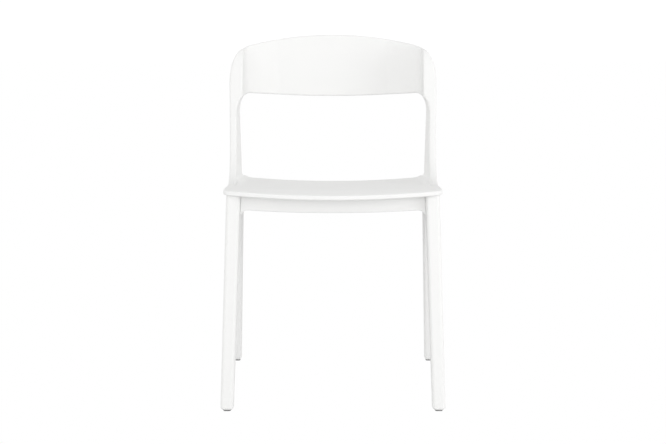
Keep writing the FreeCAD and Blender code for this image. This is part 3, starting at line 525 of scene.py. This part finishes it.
def solids_of(node):
    """Lowest and highest corners and points of each separate solid in a CAD node."""
    mesh = bmesh.new()
    mesh.from_mesh(NODES[node].data)
    bmesh.ops.remove_doubles(mesh, verts=mesh.verts, dist=MERGE)
    left = set(mesh.verts)
    solids = []
    while left:
        seed = left.pop()
        group = [seed]
        for vert in group:
            for edge in vert.link_edges:
                other = edge.other_vert(vert)
                if other in left:
                    left.discard(other)
                    group.append(other)
        points = [vert.co.copy() for vert in group]
        lo = Vector([min(point[axis] for point in points) for axis in range(3)])
        hi = Vector([max(point[axis] for point in points) for axis in range(3)])
        solids.append((lo, hi, points))
    mesh.free()
    return sorted(solids, key=lambda solid: tuple(round(value, 5) for value in solid[0]))


def fastener_place(solid):
    """Top of a screw's head, the way it looks, the screw's length and its head's radius."""
    lo, hi, points = solid
    size = hi - lo
    axis = max(range(3), key=lambda i: size[i])
    middle = (lo + hi) / 2
    radius = {}
    for end, level in ((-1, lo[axis]), (1, hi[axis])):
        near = [point for point in points if abs(point[axis] - level) < NEAR]
        spread = [math.hypot(*((point - middle)[i] for i in range(3) if i != axis)) for point in near]
        radius[end] = max(spread)
    way = 1 if radius[1] > radius[-1] else -1
    outward = Vector([way if i == axis else 0 for i in range(3)])
    top = middle + outward * size[axis] / 2
    return top, outward, size[axis], max(size[i] for i in range(3) if i != axis) / 2


# ---- Operators

class CHAIR_OT_finishes(bpy.types.Operator):
    """Make the materials and give every CAD piece its own"""
    bl_idname = "chair.finishes"
    bl_label = "Finishes"

    def execute(self, context):
        make_materials()
        for name, node in NODES.items():
            wear(node, SLOTS[name])
        return {"FINISHED"}


MOULDINGS = (
    "back_hoop", "front_apron", "rear_apron", "front_leg_left", "front_leg_right",
    "rear_leg_left", "rear_leg_right", "side_rail_left", "side_rail_right")


class CHAIR_OT_seat(bpy.types.Operator):
    """Make the dished seat, its coves at the posts and the ejector marks under it"""
    bl_idname = "chair.seat"
    bl_label = "Seat"

    def execute(self, context):
        detail = context.scene.chair_detail
        seat = moulding_copy("seat_pan", "seat_moulding")
        lo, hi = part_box("seat_pan")
        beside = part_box("back_hoop")[0].y + POST_TIP
        waist = max(vert.co.x for vert in seat.data.vertices if vert.co.y > (lo.y + hi.y) / 2)
        group = seat.vertex_groups.new(name="beside_post")
        edit(seat, "VERT", lambda vert: abs(abs(vert.co.x) - waist) < SAME and vert.co.y > beside)
        bpy.ops.object.vertex_group_assign()
        close_edit()
        draw = seat.modifiers.new("draw_to_post", "SHRINKWRAP")
        draw.wrap_method = "PROJECT"
        draw.use_project_x = True
        draw.use_negative_direction = True
        draw.use_positive_direction = True
        draw.project_limit = detail.joint_close
        draw.target = NODES["back_hoop"]
        draw.vertex_group = group.name
        bpy.ops.object.modifier_apply(modifier=draw.name)
        marks = self.ejector_marks(detail)
        coves = self.post_coves(detail, seat, waist, beside, hi.y - COVE_REAR)
        finish_piece(coves, "white_plastic")
        finish_piece(seat, "white_plastic", "seat_pan")
        finish_piece(marks, "white_plastic")
        return {"FINISHED"}

    def post_coves(self, detail, seat, waist, first, last):
        """Coves that close the groove between the seat's sides and the posts.

        They have to lie on the dished seat and on the curved posts, so their points are cast onto both."""
        bpy.context.view_layer.update()
        coves = []
        for side in (-1, 1):
            rings = []
            for row in range(COVE_ROWS + 1):
                share = row / COVE_ROWS
                y = first + (last - first) * share
                size = detail.cove_size * min(1.0, COVE_TIP + COVE_GROWTH * share)
                ring = self.cove_outline(seat, side, y, waist - size, size, COVE_WIDEST * detail.cove_size)
                if ring:
                    rings.append(ring)
            coves.append(loft("post_cove", rings))
        return join("post_coves", coves)

    def cove_outline(self, seat, side, y, inner, size, widest):
        """An arc from the seat up to the post with a root behind it, or None where no post stands."""
        hoop = NODES["back_hoop"]
        down = Vector((0, 0, -1))
        outward = Vector((side, 0, 0))
        on_seat, start = seat.ray_cast(Vector((side * inner, y, ABOVE_SEAT)), down)[:2]
        farther_in, before = seat.ray_cast(Vector((side * (inner - SLOPE_STEP), y, ABOVE_SEAT)), down)[:2]
        if not (on_seat and farther_in):
            return None
        slope = max(0.0, (start.z - before.z) / SLOPE_STEP)
        on_post, wall = hoop.ray_cast(start + Vector((0, 0, size)), outward)[:2]
        if not on_post or abs(wall.x - start.x) > widest:
            return None
        corner = Vector((wall.x, y, start.z + slope * abs(wall.x - start.x)))
        higher, end = hoop.ray_cast(Vector((start.x, y, corner.z + size)), outward)[:2]
        if not higher:
            return None
        ring = []
        for step in range(COVE_STEPS + 1):
            t = step / COVE_STEPS
            ring.append(start * (1 - t) ** 2 + corner * 2 * t * (1 - t) + end * t ** 2)
        ring.append(corner + Vector((side * COVE_ROOT[0], 0, COVE_ROOT[1])))
        return ring

    def ejector_marks(self, detail):
        """Round pads a fraction of a millimetre proud of the seat's underside, each with a turned ring."""
        pan = NODES["seat_pan"]
        radius = detail.mark_radius
        marks = []
        for across, y in MARK_PLACES:
            for side in (-1, 1):
                hit, place = pan.ray_cast(Vector((side * across, y, UNDER_SEAT)), Vector((0, 0, 1)))[:2]
                if not hit:
                    raise RuntimeError("no seat above an ejector mark")
                mark = disc("mark", 32, radius, MARK_HEIGHT, place - Vector((0, 0, MARK_SUNK)))
                recess(mark, faces_towards((0, 0, -1)), radius * MARK_BORDER, MARK_RING)
                marks.append(mark)
        return join("ejector_marks", marks)


class CHAIR_OT_mouldings(bpy.types.Operator):
    """Make the back hoop, legs, rails and aprons with smooth moulded faces"""
    bl_idname = "chair.mouldings"
    bl_label = "Hoop, legs, rails and aprons"

    def execute(self, context):
        for node in MOULDINGS:
            piece = moulding_copy(node, node + "_moulding")
            finish_piece(piece, "white_plastic", node)
        return {"FINISHED"}


class CHAIR_OT_brackets(bpy.types.Operator):
    """Make the four corner brackets from bent strip"""
    bl_idname = "chair.brackets"
    bl_label = "Corner brackets"

    def execute(self, context):
        radius = context.scene.chair_detail.bend_radius
        for end in ("front", "rear"):
            for side in ("left", "right"):
                node = "corner_bracket_%s_%s" % (end, side)
                strip = moulding_copy(node, node + "_strip")
                edit(strip, "FACE", lambda face: True)
                bpy.ops.mesh.dissolve_limited(angle_limit=math.radians(1))
                close_edit()
                lo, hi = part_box(node)
                height = hi.z - lo.z
                round_edges(strip, runs_along((0, 0, 1), height * 0.9), radius, 4)
                finish_piece(strip, "zinc_steel", node)
        return {"FINISHED"}


class CHAIR_OT_fasteners(bpy.types.Operator):
    """Make the cross-recessed screws and the socket-head bolts"""
    bl_idname = "chair.fasteners"
    bl_label = "Screws and bolts"

    def execute(self, context):
        for node, socket in (("bracket_screws", "cross"), ("seat_screws", "cross"),
                             ("leg_bolts", "hex"), ("post_bolts", "hex")):
            models = {}
            copies = []
            for number, solid in enumerate(solids_of(node)):
                top, outward, length, head_radius = fastener_place(solid)
                key = round(length, 4)
                if key not in models:
                    models[key] = self.fastener(socket, length, head_radius)
                item = duplicate(models[key], "%s_%d" % (node, number + 1))
                turn = Vector((0, 0, 1)).rotation_difference(outward)
                item.matrix_world = Matrix.Translation(top) @ turn.to_matrix().to_4x4()
                settle(item)
                copies.append(item)
            only(*models.values())
            bpy.ops.object.delete()
            group = join(node + "_set", copies)
            finish_piece(group, "zinc_steel", node)
        return {"FINISHED"}

    def fastener(self, socket, length, head_radius):
        """One screw or bolt, its head's top at the origin and looking up."""
        head = head_radius * HEAD_HEIGHT
        radius = head_radius * SHANK_RADIUS
        item = disc("fastener", 40, head_radius, head, (0, 0, -head))
        round_edges(item, lambda edge: all(vert.co.z > -MERGE for vert in edge.verts), head * 0.5, 4)
        edit(item, "FACE", faces_towards((0, 0, -1), head))
        bpy.ops.mesh.inset(thickness=head_radius - radius)
        bpy.ops.mesh.extrude_region_move(TRANSFORM_OT_translate={"value": (0, 0, -(length - head - radius))})
        bpy.ops.mesh.extrude_region_move(TRANSFORM_OT_translate={"value": (0, 0, -radius)})
        bpy.ops.transform.resize(value=(TIP_TAPER, TIP_TAPER, 1))
        close_edit()
        depth = head * SOCKET_DEPTH
        if socket == "hex":
            cut(item, disc("key", 6, head_radius * HEX_RADIUS, depth * 2, (0, 0, -depth)))
            return item
        arm = head_radius * CROSS_ARM
        half = head_radius * CROSS_HALF
        for long, wide in ((arm, half), (half, arm)):
            tool = block("driver", (-long, -wide, -depth), (long, wide, depth))
            edit(tool, "FACE", faces_towards((0, 0, -1)))
            bpy.ops.transform.resize(value=(CROSS_TAPER, CROSS_TAPER, 1))
            close_edit()
            cut(item, tool)
        return item


class CHAIR_OT_glides(bpy.types.Operator):
    """Make the rubber glides and the barbed plugs that hold them in the feet"""
    bl_idname = "chair.glides"
    bl_label = "Glides"

    def execute(self, context):
        edge = context.scene.chair_detail.pad_edge
        for end in ("front", "rear"):
            for side in ("left", "right"):
                place = "%s_%s" % (end, side)
                finish_piece(self.pad("glide_pad_" + place, edge), "glide_rubber", "glide_pad_" + place)
                finish_piece(self.plug("glide_plug_" + place, edge), "dark_plastic", "glide_plug_" + place)
        return {"FINISHED"}

    def pad(self, node, edge):
        """A square rubber sole with round corners and a shallow dish in its underside."""
        lo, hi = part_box(node)
        pad = block(node + "_sole", lo, hi)
        width = hi.x - lo.x
        round_edges(pad, runs_along((0, 0, 1)), width * SOLE_CORNER, 8)
        round_edges(pad, lambda side: all(vert.co.z < lo.z + MERGE for vert in side.verts), edge, 3)
        recess(pad, faces_towards((0, 0, -1), -lo.z), width * SOLE_BORDER, edge * 0.7)
        return pad

    def plug(self, node, edge):
        """A flange over the sole and a stem with four barbs, narrowing to its tip."""
        lo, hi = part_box(node)
        middle = (lo + hi) / 2
        flange_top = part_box(node.replace("plug", "pad"))[1].z + FLANGE_HEIGHT
        flange = block(node + "_flange", lo, (hi.x, hi.y, flange_top))
        width = hi.x - lo.x
        round_edges(flange, runs_along((0, 0, 1)), width * SOLE_CORNER, 8)
        round_edges(
            flange, lambda side: all(vert.co.z > flange_top - MERGE for vert in side.verts),
            edge * FLANGE_EDGE, 2)
        stem_radius = width * STEM_RADIUS
        core = stem_radius * BARB_NECK
        rise = (hi.z - flange_top) / STEM_PARTS
        stem = disc("stem", 28, core, rise, (middle.x, middle.y, flange_top - NEAR))
        edit(stem, "FACE", faces_towards((0, 0, 1)))
        wide = stem_radius / core
        for barb in range(BARBS):
            bpy.ops.mesh.extrude_region_move(TRANSFORM_OT_translate={"value": (0, 0, rise * BARB_STEP)})
            bpy.ops.transform.resize(value=(wide, wide, 1))
            bpy.ops.mesh.extrude_region_move(TRANSFORM_OT_translate={"value": (0, 0, rise * BARB_SLOPE)})
            bpy.ops.transform.resize(value=(1 / wide, 1 / wide, 1))
        close_edit()
        return join(node + "_barbed", [flange, stem])


class CHAIR_OT_stacking_pads(bpy.types.Operator):
    """Make the soft pads under the side rails that keep stacked chairs from scratching"""
    bl_idname = "chair.stacking_pads"
    bl_label = "Stacking pads"

    def execute(self, context):
        edge = context.scene.chair_detail.pad_edge
        pads = []
        for lo, hi, points in solids_of("stacking_pads"):
            top = min(point.z for point in points if point.z > lo.z + NEAR)
            pad = block("pad", lo, (hi.x, hi.y, top))
            width = hi.x - lo.x
            round_edges(pad, runs_along((0, 0, 1)), width * PAD_CORNER, 8)
            round_edges(pad, lambda side: all(vert.co.z < lo.z + MERGE for vert in side.verts), edge * 1.6, 4)
            recess(pad, faces_towards((0, 0, -1), -lo.z), width * PAD_BORDER, edge)
            pads.append(pad)
        finish_piece(join("stacking_pads_soft", pads), "soft_grey", "stacking_pads")
        return {"FINISHED"}


class CHAIR_OT_inserts(bpy.types.Operator):
    """Make the knurled brass sleeves in the hoop's tongues"""
    bl_idname = "chair.inserts"
    bl_label = "Threaded sleeves"

    def execute(self, context):
        sleeves = []
        for lo, hi, points in solids_of("post_inserts"):
            middle = (lo + hi) / 2
            length = hi.x - lo.x
            outside = (hi.z - lo.z) / 2
            bore = min(math.hypot(point.y - middle.y, point.z - middle.z) for point in points)
            sleeve = disc("sleeve", 48, outside, length, (0, 0, -length / 2))
            edit(sleeve, "FACE", lambda face: abs(face.normal.z) < 0.1 and math.degrees(
                math.atan2(face.normal.y, face.normal.x)) % KNURL_TURN < KNURL_TURN / 2)
            bpy.ops.mesh.inset(thickness=outside * KNURL_BORDER, use_individual=True)
            bpy.ops.transform.resize(value=(KNURL_DEPTH, KNURL_DEPTH, 1))
            close_edit()
            cut(sleeve, disc("bore", 32, bore, length * 1.2, (0, 0, -length * 0.6)))
            sleeve.matrix_world = Matrix.Translation(middle) @ Matrix.Rotation(math.pi / 2, 4, "Y")
            settle(sleeve)
            sleeves.append(sleeve)
        finish_piece(join("post_inserts_knurled", sleeves), "brass_insert", "post_inserts")
        return {"FINISHED"}


def show_apart(tree, lit, seen, surface):
    """One shader for what lights the chair, another for what the camera sees."""
    path = tree.nodes.new("ShaderNodeLightPath")
    mix = tree.nodes.new("ShaderNodeMixShader")
    tree.links.new(path.outputs["Is Camera Ray"], mix.inputs[0])
    tree.links.new(lit.outputs[0], mix.inputs[1])
    tree.links.new(seen.outputs[0], mix.inputs[2])
    tree.links.new(mix.outputs[0], surface)


def fade(tree, along, limits, strengths):
    """A brightness that runs from one strength to the other between two limits."""
    step = tree.nodes.new("ShaderNodeMapRange")
    for label, value in zip(("From Min", "From Max", "To Min", "To Max"), limits + strengths):
        step.inputs[label].default_value = value
    tree.links.new(along, step.inputs["Value"])
    return step.outputs["Result"]


class CHAIR_OT_stage(bpy.types.Operator):
    """Set up the pale floor, the soft light and the camera"""
    bl_idname = "chair.stage"
    bl_label = "Studio"

    def execute(self, context):
        studio = context.scene.chair_studio
        self.floor(studio)
        self.sky(context, studio)
        self.lights(studio)
        self.camera(context, studio)
        context.scene.view_settings.view_transform = "Standard"
        return {"FINISHED"}

    def floor(self, studio):
        bpy.ops.mesh.primitive_plane_add(size=60, location=(0, 0, 0))
        floor = bpy.context.active_object
        floor.name = "studio_floor"
        paint = bpy.data.materials.new("studio_white")
        paint.use_nodes = True
        tree = paint.node_tree
        shader = tree.nodes["Principled BSDF"]
        shade = studio.floor_shade
        shader.inputs["Base Color"].default_value = (shade, shade, shade, 1)
        shader.inputs["Roughness"].default_value = 1.0
        shader.inputs["Specular IOR Level"].default_value = 0.0
        white = tree.nodes.new("ShaderNodeEmission")
        show_apart(tree, shader, white, tree.nodes["Material Output"].inputs["Surface"])
        floor.data.materials.append(paint)

    def sky(self, context, studio):
        world = bpy.data.worlds.new("studio_sky")
        context.scene.world = world
        world.use_nodes = True
        tree = world.node_tree
        light = tree.nodes["Background"]
        light.inputs["Color"].default_value = (1, 1, 1, 1)
        direction = tree.nodes.new("ShaderNodeTexCoord")
        split = tree.nodes.new("ShaderNodeSeparateXYZ")
        tree.links.new(direction.outputs["Generated"], split.inputs[0])
        strength = studio.sky_strength
        upward = fade(tree, split.outputs["Z"], (0.0, 1.0), (strength, strength * studio.overhead))
        rearward = fade(tree, split.outputs["Y"], (-1.0, 1.0), (studio.ahead, studio.behind))
        both = tree.nodes.new("ShaderNodeMath")
        both.operation = "MULTIPLY"
        tree.links.new(upward, both.inputs[0])
        tree.links.new(rearward, both.inputs[1])
        tree.links.new(both.outputs[0], light.inputs["Strength"])
        seen = tree.nodes.new("ShaderNodeBackground")
        seen.inputs["Strength"].default_value = studio.sky_seen
        seen.inputs["Color"].default_value = (1, 1, 1, 1)
        show_apart(tree, light, seen, tree.nodes["World Output"].inputs["Surface"])

    def lights(self, studio):
        aim = Vector(studio.light_aim)
        for name, place, size, power in (
                ("key_right", studio.key_place, studio.key_size, studio.key_power),
                ("fill_front", studio.fill_place, studio.fill_size, studio.fill_power)):
            bpy.ops.object.light_add(type="AREA", location=tuple(place))
            lamp = bpy.context.active_object
            lamp.name = name
            lamp.data.shape = "DISK"
            lamp.data.size = size
            lamp.data.energy = power
            lamp.rotation_euler = (aim - Vector(place)).to_track_quat("-Z", "Y").to_euler()

    def camera(self, context, studio):
        bpy.ops.object.camera_add(
            location=(0, -studio.camera_back, studio.camera_height),
            rotation=(math.pi / 2 - studio.camera_pitch, 0, 0))
        camera = bpy.context.active_object
        camera.name = "studio_camera"
        camera.data.lens = studio.camera_lens
        camera.data.sensor_width = 36.0
        camera.data.clip_end = 100.0
        context.scene.camera = camera


OPERATORS = (
    CHAIR_OT_finishes, CHAIR_OT_seat, CHAIR_OT_mouldings, CHAIR_OT_brackets, CHAIR_OT_fasteners,
    CHAIR_OT_glides, CHAIR_OT_stacking_pads, CHAIR_OT_inserts, CHAIR_OT_stage)


class CHAIR_PT_panel(bpy.types.Panel):
    """The chair's settings and the steps that make its looks"""
    bl_label = "Chair"
    bl_idname = "CHAIR_PT_panel"
    bl_space_type = "VIEW_3D"
    bl_region_type = "UI"
    bl_category = "Chair"

    def draw(self, context):
        for settings in (context.scene.chair_finish, context.scene.chair_detail, context.scene.chair_studio):
            box = self.layout.box()
            for name in settings.__annotations__:
                box.prop(settings, name)
        for operator in OPERATORS:
            self.layout.operator(operator.bl_idname)


CLASSES = (ChairFinish, ChairDetail, ChairStudio) + OPERATORS + (CHAIR_PT_panel,)


def register():
    for cls in CLASSES:
        bpy.utils.register_class(cls)
    bpy.types.Scene.chair_finish = bpy.props.PointerProperty(type=ChairFinish)
    bpy.types.Scene.chair_detail = bpy.props.PointerProperty(type=ChairDetail)
    bpy.types.Scene.chair_studio = bpy.props.PointerProperty(type=ChairStudio)


def unregister():
    del bpy.types.Scene.chair_finish
    del bpy.types.Scene.chair_detail
    del bpy.types.Scene.chair_studio
    for cls in reversed(CLASSES):
        bpy.utils.unregister_class(cls)


def main():
    register()
    bpy.ops.object.select_all(action="DESELECT")
    for operator in OPERATORS:
        group, name = operator.bl_idname.split(".")
        getattr(getattr(bpy.ops, group), name)()


if __name__ == "__main__":
    main()
